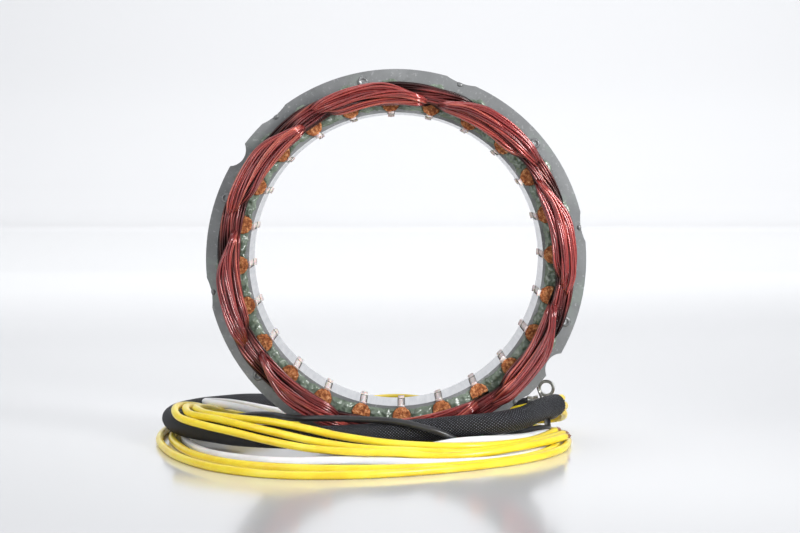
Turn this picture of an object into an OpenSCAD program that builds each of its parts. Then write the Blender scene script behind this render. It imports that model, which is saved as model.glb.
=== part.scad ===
// Three-phase alternator stator: wound steel ring with its lead harness
// coiled round the foot. Millimetres, +Z up, ring axis along Y, front face
// toward -Y, ring standing on its outside diameter at the origin.

/* [Core] */
// Outside diameter of the steel ring
core_od = 140; // [139.6:0.1:140]
// Diameter of the bore the rotor turns in
core_bore = 108; // [107:0.5:109]
// Length of the steel ring along its axis
core_length = 26; // [26:0.2:26.4]
// Thickness of each end lamination
end_lam_t = 1; // [0.8:0.1:1.4]
// Width of the slot mouth at the bore
slot_mouth = 2.8; // [2.6:0.1:3]
// Angle of the first slot, seen from the front
first_slot = 2; // [0:0.5:4]

/* [Insulation] */
// Thickness of the epoxy lining inside the slots
liner_t = 0.4; // [0.3:0.05:0.45]
// Thickness of the epoxy coat on the end faces
coat_t = 0.5; // [0.3:0.1:0.7]
// Length of the fibre wedges that close the slots
wedge_length = 28; // [27.2:0.2:28.4]

/* [Windings] */
// How far the end windings stand proud of the steel
overhang = 11; // [10:0.5:11]
// Radial thickness of each phase band
band_t = 2.8; // [2.4:0.1:2.8]

/* [Harness] */
// Outside diameter of the braided sleeve
sleeve_d = 8.4; // [8:0.1:8.4]
// Outside diameter of the yellow and white leads
lead_d = 2.8; // [2.4:0.1:2.8]
// Outside diameter of the black leads
thin_d = 2.4; // [2:0.1:2.4]
// Bare copper left at each lead end
strip_length = 4; // [3:0.5:5]

/* [Hidden] */
function wedge_name(i) = str("slot_wedge_", i < 10 ? "0" : "", i);

slots = 24;
pitch = 360 / slots;
core_r = core_od / 2;
bore_r = core_bore / 2;
half = core_length / 2;
ring_z = 70;
neck_r = 54.9;
shoulder_r = 58;
slot_r = 65;
slot_half = 3.75;
mouth_half = slot_mouth / 2;

// Rivets and welds
rivet_r = 66.4;
rivet_angles = [100.5, 40, 340, 280, 220, 160];
rivet_shank_r = 1.25;
rivet_head_r = 1.95;
rivet_head_h = 1.1;
weld_angles = [10, 70, 130, 190, 250, 310];
groove_cut_r = 20;
groove_depth = 1;
bead_r = 1.2;
bead_at = 68.7;
notch_angles = [146.5, 326.4];
notch_r = 6;
notch_depth = 2.7;

// Windings: each band is a ring over its own eight slots
wind_y0 = 14.9;
wind_y1 = half + overhang;
band_a = 63.2;
band_b = 60.2;
band_c = 57.2;
bar_y = 14.5;
bar_in = 58.8;
bar_out = 64.6;
bar_half = 3.2;

// Leads gather at this radius and height on the back of the winding
bundle_r = 61.7;
bundle_y = 28.8;
bundle_a = 318;
tail_r = 1.4;

// Hand-laid routes of the harness, all in mm
sleeve_route = [
    [46, 28.8, 28.7], [40.5, 30.5, 22.5], [34, 35, 16.5], [27, 41, 11],
    [18, 48, 7], [7, 54.5, 5], [-6, 60, 4.4], [-20, 64, 4.8],
    [-34, 66.5, 5.8], [-48, 67, 6.8], [-61, 64, 7.3], [-72, 57.5, 7.3],
    [-80.5, 47.5, 7.3], [-85.5, 35, 7.3], [-86.5, 21, 7.3], [-83.5, 7, 7.3],
    [-77.5, -5, 7.2], [-69.5, -15.5, 7.2], [-59.5, -24, 7.1],
    [-48, -29.5, 7], [-36, -32, 7], [-24, -32.3, 7.1], [-12, -31.5, 7.6],
    [0, -30.4, 8.6], [12, -29.6, 9.5], [21, -29.6, 10.3], [30, -29.6, 11],
    [37, -27.9, 11.6], [42.8, -23.3, 12], [47, -16.5, 12.2],
    [50.2, -8.5, 12.4], [54.4, 3.5, 12.6], [58.3, 12.4, 12.5],
    [61.4, 18.6, 12.4]
];
yellow_1_route = [
    [60.4, 14.4, 10.5], [62.4, 17.9, 10.5], [65.5, 27.4, 8],
    [64.6, 39.5, 4.6], [54, 52, 2], [36, 64, 1.4], [12, 73.5, 1.4],
    [-13, 78, 1.4], [-39, 79, 1.4], [-64, 73, 1.4], [-82, 57.5, 1.4],
    [-89.5, 34, 1.4], [-90, 8, 1.4], [-85.5, -17, 1.4], [-76.5, -43, 1.4],
    [-61, -67, 1.4], [-39, -81.5, 1.4], [-14, -82, 1.4], [8, -74.5, 1.4],
    [29, -62, 1.4], [47, -46, 1.4], [59.5, -25, 1.4], [64.5, -2, 1.4],
    [63, 19, 1.4], [54.5, 35.5, 1.4], [38, 44.5, 1.4], [14, 46.8, 1.4],
    [-12, 48.8, 1.4], [-36, 47.5, 2], [-54, 40, 4.8], [-68, 29.5, 8.2],
    [-74.2, 17, 11.4], [-79.2, 6, 13.2], [-78.4, -4.6, 13.1],
    [-75, -13, 12.6], [-65.5, -22, 12.3], [-55, -31, 11.3], [-43, -37, 9.4],
    [-29, -42, 7], [-13, -46, 5.2], [5, -47.5, 4.4], [22, -46, 3.6],
    [37, -39, 3.9], [51.2, -24.1, 4.4], [58, -12.6, 4.4], [62.5, -4, 4.4]
];
yellow_2_route = [
    [61.4, 14.1, 13.1], [63.4, 17.5, 13.1], [65.8, 27.2, 11],
    [64.9, 40, 8], [56, 53, 5], [39, 62, 4.5], [25, 66, 3.5],
    [10, 70.3, 1.4], [-12, 74.5, 1.4], [-38, 75.5, 1.4], [-61, 70, 1.4],
    [-77, 55, 1.4], [-84.5, 34, 1.4], [-85.5, 10, 1.4], [-80.5, -14, 1.4],
    [-71, -38, 1.4], [-55, -57.5, 1.4], [-33, -67, 1.4], [-9, -68.5, 1.4],
    [14, -64.5, 1.4], [34, -54, 1.4], [49, -38.5, 1.4], [58, -18.5, 1.4],
    [60, 0, 1.4], [57.5, 18, 1.4], [49.5, 32, 1.4], [34.5, 40, 1.4],
    [12, 42.8, 1.4], [-12, 44.8, 1.4], [-34, 44.5, 1.8], [-51, 38, 4.6],
    [-65, 26, 8.2], [-71.4, 14.2, 11.6], [-75.6, 3.6, 13.2],
    [-73, -6.4, 13.2], [-68, -15, 13.1], [-57, -24.5, 12.9],
    [-45, -31.8, 12.6], [-33, -36.6, 11], [-20, -40, 8.6], [-4, -42.8, 6.6],
    [12, -43.2, 5.5], [27, -40.6, 5], [38, -33.9, 4.7], [48.4, -22.6, 4.4],
    [55.4, -10.8, 4.7], [59.6, -3.4, 5.4]
];
yellow_3_route = [
    [59.4, 15.1, 14.8], [61.4, 18.6, 14.8], [64.6, 27, 14.1],
    [63.8, 38, 11.4], [57.5, 48, 9], [43.5, 54.5, 7.6], [28, 58.6, 7.8],
    [14, 60.6, 9.2], [1, 60.2, 10.4], [-12, 58.2, 9.6], [-27, 54.5, 6],
    [-43, 50, 4.6], [-57, 43, 5.6], [-70, 33, 8], [-77.2, 20, 11.8],
    [-82.4, 10.2, 13.2], [-83.2, -1, 12.9], [-79.7, -12.5, 11.4],
    [-70, -23.5, 10.2], [-58, -32.5, 8.8], [-45, -40, 6.8], [-31, -45.5, 5],
    [-16, -49.5, 4.4], [0, -51.2, 4.1], [16, -51.3, 2.9], [31, -47, 3.5],
    [44, -37.8, 4.3], [54.3, -25.5, 4.4], [62.6, -11.6, 4.4]
];
white_route = [
    [57.4, 16.2, 13.2], [59.4, 19.7, 13.1], [62.4, 28, 11.3], [61.5, 38, 8],
    [51, 48, 3.6], [36, 56, 1.4], [12, 66.5, 1.4], [-12, 71, 1.4],
    [-37, 72, 1.4], [-58, 66.5, 1.4], [-73, 51, 1.4], [-80.5, 31, 1.4],
    [-81, 10, 1.4], [-76, -12, 1.4], [-66.5, -33, 1.4], [-50, -48, 1.4],
    [-36, -52, 1.4], [-25, -50, 1.4], [-14, -49.5, 1.4], [-3, -52, 1.4],
    [9, -55, 1.4], [23, -54, 1.4], [37, -47.5, 1.4], [47.5, -35, 1.4],
    [54.5, -17, 1.4], [56.5, 0, 1.4], [53.5, 16, 1.4], [45, 29, 1.4],
    [31, 35.5, 1.4], [12, 38.5, 1.4], [-8, 40.3, 1.4], [-22, 40.8, 2.2],
    [-34, 41.3, 4.4], [-46, 42.2, 6.8], [-57, 42.8, 8.9], [-66, 42, 10.5],
    [-72.8, 39, 11.3], [-75.2, 33, 11.9], [-71.5, 27, 12.1],
    [-63.5, 21, 11.7], [-54, 11.5, 11], [-46, -0.5, 10.2], [-39, -12, 7.4],
    [-30, -22.5, 3.6], [-17, -31.5, 1.5], [-3, -36, 2.4], [10, -37.8, 4.2],
    [22, -37.4, 6.2], [33, -33.2, 6.4], [45.8, -21, 5.4], [52.6, -9.4, 4.9],
    [56.8, -2, 4.5]
];
black_long_route = [
    [58.2, 15.8, 10.5], [60.2, 19.3, 10.5], [62.4, 27, 7.8],
    [58.5, 35.5, 5.2], [47.5, 40.5, 4.4], [30, 41.2, 4.3], [20, 41.2, 4.3],
    [8, 43, 4.3], [-8, 46, 4.3], [-22, 51, 3.4], [-36, 53.8, 1.6],
    [-50, 55.5, 1.6], [-62, 54, 2.6], [-71, 49.5, 4.2], [-75, 42, 4.4],
    [-73.5, 33.5, 4.5], [-68.5, 25, 5.6], [-61, 15.5, 8.2], [-53, 4, 10.6],
    [-45.5, -8, 11.9], [-41.5, -15.5, 12.2], [-38, -21.6, 12.6],
    [-33.4, -26.4, 13], [-24, -29.4, 13.5], [-13, -31.5, 13.4],
    [0, -34, 13], [10, -36, 11], [16.5, -35.6, 8.9], [23, -33, 5.6],
    [29, -29.3, 4.4], [35, -24.2, 4.5], [41, -16.5, 5.2], [48, -6, 5.8],
    [54, 2.2, 5.6], [57.5, 9.5, 4.6], [58.4, 16, 4.4], [58.6, 21.3, 5],
    [58.8, 25, 7.2], [58.8, 26.8, 10]
];
black_short_route = [
    [24.5, 24.5, 13.4], [25.4, 27.6, 12.6], [29, 29.4, 11], [35, 29.6, 10],
    [41, 28.8, 10.4], [46.5, 27.2, 12.2], [51, 25.4, 13.4]
];

// Smooth curve through the route points, finer only where it bends
function knee(p, i) = i <= 0 || i >= len(p) - 1 ? 0
    : acos(min(1, (p[i] - p[i - 1]) * (p[i + 1] - p[i])
        / (norm(p[i] - p[i - 1]) * norm(p[i + 1] - p[i]))));
function cuts(p, i) = max(knee(p, i), knee(p, i + 1)) > 21 ? 2 : 1;
function spline(a, b, c, d, t) = 0.5 * (2 * b + (c - a) * t
    + (2 * a - 5 * b + 4 * c - d) * t * t
    + (3 * b - a - 3 * c + d) * t * t * t);
function raised(q, low) = [q[0], q[1], max(q[2], low)];
function smooth(p) = let (low = min([for (q = p) q[2]])) concat(
    [for (i = [0:len(p) - 2]) for (k = [0:cuts(p, i) - 1])
        raised(spline(p[max(i - 1, 0)], p[i], p[i + 1],
            p[min(i + 2, len(p) - 1)], k / cuts(p, i)), low)],
    [p[len(p) - 1]]);
function unit(v) = v / norm(v);
function heading(p, i) =
    unit(p[min(i + 1, len(p) - 1)] - p[max(i - 1, 0)]);
function side(p, i) = unit(cross(heading(p, i), [0, 0, 1]));
function rise(p, i) = cross(side(p, i), heading(p, i));
function rings(p, r, n) = [for (i = [0:len(p) - 1]) for (k = [0:n - 1])
    p[i] + r * (cos((k + 0.5) * 360 / n) * side(p, i)
        + sin((k + 0.5) * 360 / n) * rise(p, i))];
function walls(m, n) = [for (i = [0:m - 2]) for (k = [0:n - 1])
    [i * n + k, i * n + (k + 1) % n, (i + 1) * n + (k + 1) % n,
        (i + 1) * n + k]];
function end_way(p) = unit(p[len(p) - 1] - p[len(p) - 2]);

module tube(route, d, n) {
    p = smooth(route);
    m = len(p);
    first = [[for (k = [n - 1:-1:0]) k]];
    last = [[for (k = [0:n - 1]) (m - 1) * n + k]];
    faces = concat(first, walls(m, n), last);
    polyhedron(points = rings(p, d / 2, n), faces = faces, convexity = 10);
}

module along(p, d) {
    translate(p)
        rotate([0, acos(d[2] / norm(d)), atan2(d[1], d[0])])
            children();
}

// Ring axis along Y, angles counted from +X as seen from the front
module on_ring() {
    translate([0, 0, ring_z])
        rotate([90, 0, 0])
            children();
}

// Same, with local +Z pointing to the back of the ring
module on_back() {
    translate([0, 0, ring_z])
        rotate([-90, 0, 0])
            mirror([0, 1, 0])
                children();
}

module slot_outline() {
    polygon([
        [bore_r - 3, -mouth_half],
        [neck_r, -mouth_half],
        [neck_r + 0.8, -2.75],
        [shoulder_r - 1.2, -3.5],
        [shoulder_r, -slot_half],
        [slot_r - 1, -slot_half],
        [slot_r, -2.5],
        [slot_r, 2.5],
        [slot_r - 1, slot_half],
        [shoulder_r, slot_half],
        [shoulder_r - 1.2, 3.5],
        [neck_r + 0.8, 2.75],
        [neck_r, mouth_half],
        [bore_r - 3, mouth_half]
    ]);
}

module liner_outline() {
    polygon([
        [neck_r, -mouth_half],
        [neck_r + 0.8, -2.75],
        [shoulder_r - 1.2, -3.5],
        [shoulder_r, -slot_half],
        [slot_r - 1, -slot_half],
        [slot_r, -2.5],
        [slot_r, 2.5],
        [slot_r - 1, slot_half],
        [shoulder_r, slot_half],
        [shoulder_r - 1.2, 3.5],
        [neck_r + 0.8, 2.75],
        [neck_r, mouth_half]
    ]);
}

module clear_outline() {
    polygon([
        [neck_r - 3, liner_t - mouth_half],
        [neck_r + 0.25, liner_t - mouth_half],
        [neck_r + 1.1, -2.5],
        [shoulder_r - 1, -3.12],
        [shoulder_r + 0.1, liner_t - slot_half],
        [slot_r - 1.2, liner_t - slot_half],
        [slot_r - liner_t, -2.3],
        [slot_r - liner_t, 2.3],
        [slot_r - 1.2, slot_half - liner_t],
        [shoulder_r + 0.1, slot_half - liner_t],
        [shoulder_r - 1, 3.12],
        [neck_r + 1.1, 2.5],
        [neck_r + 0.25, mouth_half - liner_t],
        [neck_r - 3, mouth_half - liner_t]
    ]);
}

module core_outline() {
    difference() {
        circle(r = core_r, $fn = 360);
        circle(r = bore_r, $fn = 360);
        for (i = [0:slots - 1])
            rotate(first_slot + i * pitch)
                slot_outline();
        for (a = rivet_angles)
            rotate(a)
                translate([rivet_r, 0])
                    circle(r = rivet_shank_r, $fn = 48);
        for (a = weld_angles)
            rotate(a) {
                translate([core_r - groove_depth + groove_cut_r, 0])
                    circle(r = groove_cut_r, $fn = 180);
                translate([bead_at, 0])
                    circle(r = bead_r, $fn = 48);
            }
        for (a = notch_angles)
            rotate(a)
                translate([core_r - notch_depth + notch_r, 0])
                    circle(r = notch_r, $fn = 96);
    }
}

module core_plate(y0, y1) {
    on_ring()
        translate([0, 0, -y1])
            linear_extrude(height = y1 - y0)
                core_outline();
}

module lamination_stack() {
    color("dimgray")
        core_plate(end_lam_t - half, half - end_lam_t);
}

module front_end_lamination() {
    color("slategray")
        core_plate(-half, end_lam_t - half);
}

module back_end_lamination() {
    color("slategray")
        core_plate(half - end_lam_t, half);
}

module rivet() {
    rotate_extrude($fn = 48)
        polygon([
            [0, -half - rivet_head_h],
            [rivet_head_r - 0.8, -half - rivet_head_h],
            [rivet_head_r, -half - 0.4],
            [rivet_head_r, -half],
            [rivet_shank_r, -half],
            [rivet_shank_r, half],
            [rivet_head_r, half],
            [rivet_head_r, half + 0.4],
            [rivet_head_r - 0.8, half + rivet_head_h],
            [0, half + rivet_head_h]
        ]);
}

module core_rivets() {
    color("silver")
        on_ring()
            for (a = rivet_angles)
                rotate(a)
                    translate([rivet_r, 0, 0])
                        rivet();
}

module core_weld_beads() {
    color("gray")
        on_ring()
            for (a = weld_angles)
                rotate(a)
                    translate([bead_at, 0, 0])
                        cylinder(r = bead_r, h = core_length - 1,
                            center = true, $fn = 48);
}

module coat_face() {
    difference() {
        union() {
            difference() {
                circle(r = 63.5, $fn = 360);
                circle(r = 55.2, $fn = 360);
            }
            for (i = [0:slots - 1])
                rotate(first_slot + i * pitch)
                    translate([slot_r - 3.4, 0])
                        circle(r = 4.6, $fn = 72);
        }
        for (i = [0:slots - 1])
            rotate(first_slot + i * pitch)
                clear_outline();
    }
}

module slot_insulation() {
    color("darkseagreen")
        on_ring() {
            for (i = [0:slots - 1])
                rotate(first_slot + i * pitch)
                    translate([0, 0, -half - coat_t])
                        linear_extrude(height = core_length + 2 * coat_t)
                            difference() {
                                liner_outline();
                                clear_outline();
                            }
            translate([0, 0, half])
                linear_extrude(height = coat_t)
                    coat_face();
            translate([0, 0, -half - coat_t])
                linear_extrude(height = coat_t)
                    coat_face();
        }
}

module slot_wedge(i) {
    color("sienna")
        on_ring()
            rotate(first_slot + (i - 1) * pitch)
                translate([0, 0, -wedge_length / 2])
                    linear_extrude(height = wedge_length)
                        polygon([
                            [55.4, -0.9],
                            [55.75, -1.6],
                            [56.3, -2.25],
                            [57.2, -2.9],
                            [58.2, -3.2],
                            [bar_in, -3.2],
                            [bar_in, 3.2],
                            [58.2, 3.2],
                            [57.2, 2.9],
                            [56.3, 2.25],
                            [55.75, 1.6],
                            [55.4, 0.9]
                        ]);
}

// Bars through the slots, joined by a band on each end of the core
module bar() {
    translate([0, 0, -bar_y])
        linear_extrude(height = 2 * bar_y)
            polygon([
                [bar_in, -bar_half],
                [bar_out - 0.9, -bar_half],
                [bar_out, -2.2],
                [bar_out, 2.2],
                [bar_out - 0.9, bar_half],
                [bar_in, bar_half]
            ]);
}

module band(r0, shift) {
    reach = min(r0, bar_in);
    inner = max(r0, bar_in - 1.8);
    for (s = [0, 1])
        mirror([0, 0, s]) {
            rotate_extrude($fn = 360)
                polygon([
                    [r0, wind_y0],
                    [r0 + band_t, wind_y0],
                    [r0 + band_t, wind_y1 - 1.2],
                    [r0 + band_t - 0.8, wind_y1],
                    [r0 + 0.8, wind_y1],
                    [r0, wind_y1 - 1.2]
                ]);
            for (k = [0:7])
                rotate(first_slot + shift + k * 45) {
                    translate([reach, -bar_half, 14.1])
                        cube([bar_out - reach, 2 * bar_half, 0.4]);
                    translate([r0 + 0.2, -bar_half, 14.1])
                        cube([band_t - 0.4, 2 * bar_half, 1.2]);
                }
        }
    for (k = [0:7])
        rotate(first_slot + shift + k * 45)
            bar();
}

module phase_a_winding() {
    color("firebrick")
        on_ring()
            band(band_a, 15);
}

module phase_b_winding() {
    color("brown")
        on_ring()
            band(band_b, 0);
}

module phase_c_winding() {
    color("indianred")
        on_ring()
            band(band_c, 30);
}

// A length of lead lying along the back of the winding, then down to it
module tail(r, y, turn, foot_y, foot_r) {
    on_back()
        rotate(bundle_a - 2)
            rotate_extrude(angle = turn, $fn = 180)
                translate([r, y])
                    circle(r = tail_r, $fn = 36);
    on_back()
        rotate(bundle_a - 2 + turn)
            translate([r, 0, foot_y])
                cylinder(r = foot_r, h = y - foot_y + 0.6, $fn = 36);
}

module phase_a_splice() {
    color("goldenrod")
        tail(bundle_r + 2.3, bundle_y - 0.7, 22, wind_y1, 1.2);
}

module phase_b_splice() {
    color("goldenrod")
        tail(bundle_r, bundle_y - 2.4, 30, wind_y1, 1.3);
}

module phase_c_splice() {
    color("goldenrod")
        tail(bundle_r - 2.3, bundle_y - 0.7, 26, wind_y1, 1.2);
}

module star_splice() {
    color("olivedrab")
        on_back()
            rotate(354)
                rotate_extrude(angle = 7, $fn = 180)
                    polygon([
                        [58.2, wind_y1],
                        [65, wind_y1],
                        [65, wind_y1 + 2],
                        [64, wind_y1 + 3],
                        [59.2, wind_y1 + 3],
                        [58.2, wind_y1 + 2]
                    ]);
}

module neutral_splice() {
    color("white")
        tail(bundle_r - 1.4, bundle_y + 2, 41, wind_y1 + 3, 1.2);
}

// The black lead's own end, bonded to the core at a rivet
module earth_tail() {
    turn = 24;
    r = bundle_r + 1.4;
    y = bundle_y + 2;
    foot = 67.8;
    color("black") {
        on_back()
            rotate(bundle_a - 2)
                rotate_extrude(angle = turn, $fn = 180)
                    translate([r, y])
                        circle(r = thin_d / 2, $fn = 36);
        on_back()
            rotate(bundle_a - 2 + turn) {
                translate([r, 0, y])
                    rotate([0, 90, 0])
                        cylinder(r = thin_d / 2 - 0.1, h = foot - r + 0.5,
                            $fn = 36);
                translate([foot, 0, half + rivet_head_h])
                    cylinder(r = thin_d / 2 + 0.1,
                        h = y + 1.4 - half - rivet_head_h, $fn = 36);
            }
    }
}

module bare_end(route) {
    last = route[len(route) - 1];
    color("peru")
        along(last, end_way(route))
            cylinder(r = 0.9, h = strip_length, $fn = 24);
}

module eye(h) {
    difference() {
        cylinder(r = 3.4, h = h, center = true, $fn = 72);
        cylinder(r = 2.15, h = h + 1, center = true, $fn = 72);
    }
}

// Eye standing up, barrel bent down and forward onto the lead
module ring_terminal_1() {
    top = [58.8, 30, 17.6];
    foot = black_long_route[len(black_long_route) - 1];
    color("silver") {
        translate(top)
            rotate([0, 0, -18])
                rotate([90, 0, 0])
                    eye(0.8);
        translate(top)
            rotate([0, 0, -18])
                translate([-1.3, -0.4, -4.4])
                    cube([2.6, 0.8, 2]);
        along(foot, [0, 0.6, 0.8])
            difference() {
                cylinder(r = 1.7, h = 4.6, $fn = 48);
                translate([0, 0, 3.8])
                    cylinder(r = 1.2, h = 1, $fn = 48);
            }
    }
}

// Eye turned edge-on to the front, barrel lying along X
module ring_terminal_2() {
    foot = black_short_route[len(black_short_route) - 1];
    color("silver") {
        translate([55.7, 25.3, 16.7])
            rotate([0, 0, -4])
                rotate([0, 70, 0])
                    eye(0.8);
        along(foot, [1, 0, 0.06])
            cylinder(r = 1.7, h = 3.4, $fn = 48);
        translate([54, 24.4, 12.9])
            cube([3.1, 1.8, 0.9]);
    }
}

lamination_stack();
front_end_lamination();
back_end_lamination();
core_rivets();
core_weld_beads();
slot_insulation();
for (i = [1:24])
    slot_wedge(i);
phase_a_winding();
phase_b_winding();
phase_c_winding();
phase_a_splice();
phase_b_splice();
phase_c_splice();
star_splice();
neutral_splice();
earth_tail();
color("#222228") tube(sleeve_route, sleeve_d, 12);  // braided_sleeve
color("gold") tube(yellow_1_route, lead_d, 8);  // yellow_lead_1
color("gold") tube(yellow_2_route, lead_d, 8);  // yellow_lead_2
color("gold") tube(yellow_3_route, lead_d, 8);  // yellow_lead_3
color("white") tube(white_route, lead_d, 8);  // white_lead
bare_end(yellow_1_route);  // yellow_1_bare_end
bare_end(yellow_2_route);  // yellow_2_bare_end
bare_end(yellow_3_route);  // yellow_3_bare_end
bare_end(white_route);  // white_bare_end
color("black") tube(black_long_route, thin_d, 8);  // black_lead_long
color("black") tube(black_short_route, thin_d, 8);  // black_lead_short
ring_terminal_1();
ring_terminal_2();
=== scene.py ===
import math

import bmesh
import bpy
import numpy as np
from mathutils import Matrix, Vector
from mathutils import noise as fractal


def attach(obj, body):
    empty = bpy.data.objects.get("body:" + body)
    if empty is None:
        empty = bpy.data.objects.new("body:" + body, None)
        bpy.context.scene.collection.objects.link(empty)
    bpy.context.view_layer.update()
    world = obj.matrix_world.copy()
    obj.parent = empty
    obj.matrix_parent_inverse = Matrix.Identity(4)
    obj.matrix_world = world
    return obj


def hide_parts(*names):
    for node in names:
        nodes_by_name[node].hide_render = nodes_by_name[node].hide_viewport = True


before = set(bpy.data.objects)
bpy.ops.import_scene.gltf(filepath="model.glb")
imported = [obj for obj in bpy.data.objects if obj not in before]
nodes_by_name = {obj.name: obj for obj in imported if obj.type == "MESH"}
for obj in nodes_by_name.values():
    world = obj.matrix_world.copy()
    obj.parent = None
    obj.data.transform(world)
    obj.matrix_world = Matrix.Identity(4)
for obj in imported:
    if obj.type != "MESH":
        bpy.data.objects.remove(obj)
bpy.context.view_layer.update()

MM = 0.001
RING_Z = 0.07       # height of the ring's axis, metres
FACE_Y = 13.0       # half the steel's depth, mm
rng = np.random.default_rng(20)
scene = bpy.context.scene


# ---------------------------------------------------------------- geometry
def new_object(name, data):
    obj = bpy.data.objects.new(name, data)
    scene.collection.objects.link(obj)
    return obj


def make_piece(name, verts, faces, mat, slot):
    """A smooth mesh from points in metres, riding on the part's one body."""
    data = bpy.data.meshes.new(name)
    data.from_pydata([tuple(v) for v in verts], [], [tuple(f) for f in faces])
    data.validate()
    data.update()
    data.polygons.foreach_set("use_smooth", [True] * len(data.polygons))
    data.materials.append(mat)
    obj = new_object(name, data)
    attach(obj, "root")
    return obj


class Batch:
    """Collects many small shapes into one mesh."""

    def __init__(self):
        self.verts = []
        self.faces = []
        self.count = 0

    def add(self, verts, faces):
        self.verts.append(np.asarray(verts, float))
        self.faces.extend([tuple(i + self.count for i in f) for f in faces])
        self.count += len(verts)

    def piece(self, name, mat, slot):
        return make_piece(name, np.vstack(self.verts), self.faces, mat, slot)


def unit(v):
    return v / np.maximum(np.linalg.norm(v, axis=-1, keepdims=True), 1e-12)


def tangents(path):
    t = np.empty_like(path)
    t[1:-1] = path[2:] - path[:-2]
    t[0] = path[1] - path[0]
    t[-1] = path[-1] - path[-2]
    return unit(t)


def frames(path):
    """Side and up vectors carried along a path without twisting."""
    t = tangents(path)
    first = np.cross(t[0], [0.0, 0.0, 1.0])
    if np.linalg.norm(first) < 0.1:
        first = np.cross(t[0], [1.0, 0.0, 0.0])
    side = np.empty_like(path)
    side[0] = unit(first)
    for i in range(1, len(path)):
        s = side[i - 1] - t[i] * np.dot(side[i - 1], t[i])
        side[i] = s / np.linalg.norm(s)
    return side, np.cross(side, t)


def grid_faces(rows, cols, closed=True, looped=False):
    """Quads between rows of points: closed joins the two ends of each row,
    looped joins the last row to the first."""
    return [
        (i * cols + k, i * cols + (k + 1) % cols,
         (i + 1) % rows * cols + (k + 1) % cols, (i + 1) % rows * cols + k)
        for i in range(rows if looped else rows - 1)
        for k in range(cols if closed else cols - 1)
    ]


def capped_faces(rows, cols):
    """The faces of a closed grid, with a cap on its first and last rows."""
    return grid_faces(rows, cols) + [
        tuple(range(cols - 1, -1, -1)),
        tuple((rows - 1) * cols + k for k in range(cols))]


def tube(path, radius, sides, caps=True, shape=None):
    """Points and faces of a tube; radius may be one number or one for each
    row, and shape may scale each point, as an array of rows by sides."""
    path = np.asarray(path, float)
    side, up = frames(path)
    rows = len(path)
    radius = np.broadcast_to(np.asarray(radius, float), (rows,))
    a = np.arange(sides) * 2 * math.pi / sides
    ring = (side[:, None] * np.cos(a)[None, :, None]
            + up[:, None] * np.sin(a)[None, :, None])
    size = radius[:, None] * np.ones((rows, sides))
    if shape is not None:
        size = size * shape
    verts = (path[:, None] + ring * size[..., None]).reshape(-1, 3)
    return verts, (capped_faces if caps else grid_faces)(rows, sides)


def curve(points, per=6, low=None):
    """Catmull-Rom curve through points, with per steps for each stretch and
    no point lower than low."""
    p = np.asarray(points, float)
    out = []
    for i in range(len(p) - 1):
        a, b, c = p[max(i - 1, 0)], p[i], p[i + 1]
        d = p[min(i + 2, len(p) - 1)]
        for k in range(per):
            t = k / per
            out.append(0.5 * (2 * b + (c - a) * t
                              + (2 * a - 5 * b + 4 * c - d) * t * t
                              + (3 * b - a - 3 * c + d) * t ** 3))
    out.append(p[-1])
    out = np.array(out)
    if low is not None:
        out[:, 2] = np.maximum(out[:, 2], low)
    return out


def on_ring(r, deg, y):
    """A point by radius in mm, angle in degrees from +X seen from the front,
    and depth along the ring's axis in mm."""
    a = np.radians(deg)
    return np.stack([r * MM * np.cos(a) + 0 * y, y * MM + 0 * r * np.cos(a),
                     RING_Z + r * MM * np.sin(a) + 0 * y], axis=-1)


def by_slot(w, r, deg, y):
    """A point w across and r out, in mm, from the middle of the slot at deg."""
    return on_ring(math.hypot(w, r), deg + math.degrees(math.atan2(w, r)), y)


def length_of(path):
    return float(np.linalg.norm(np.diff(path, axis=0), axis=1).sum())


def wobble(x, y=0.0, z=0.0):
    """Smooth noise, about -1 to 1, the same on every run."""
    return fractal.noise(Vector((x, y, z)))


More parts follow.
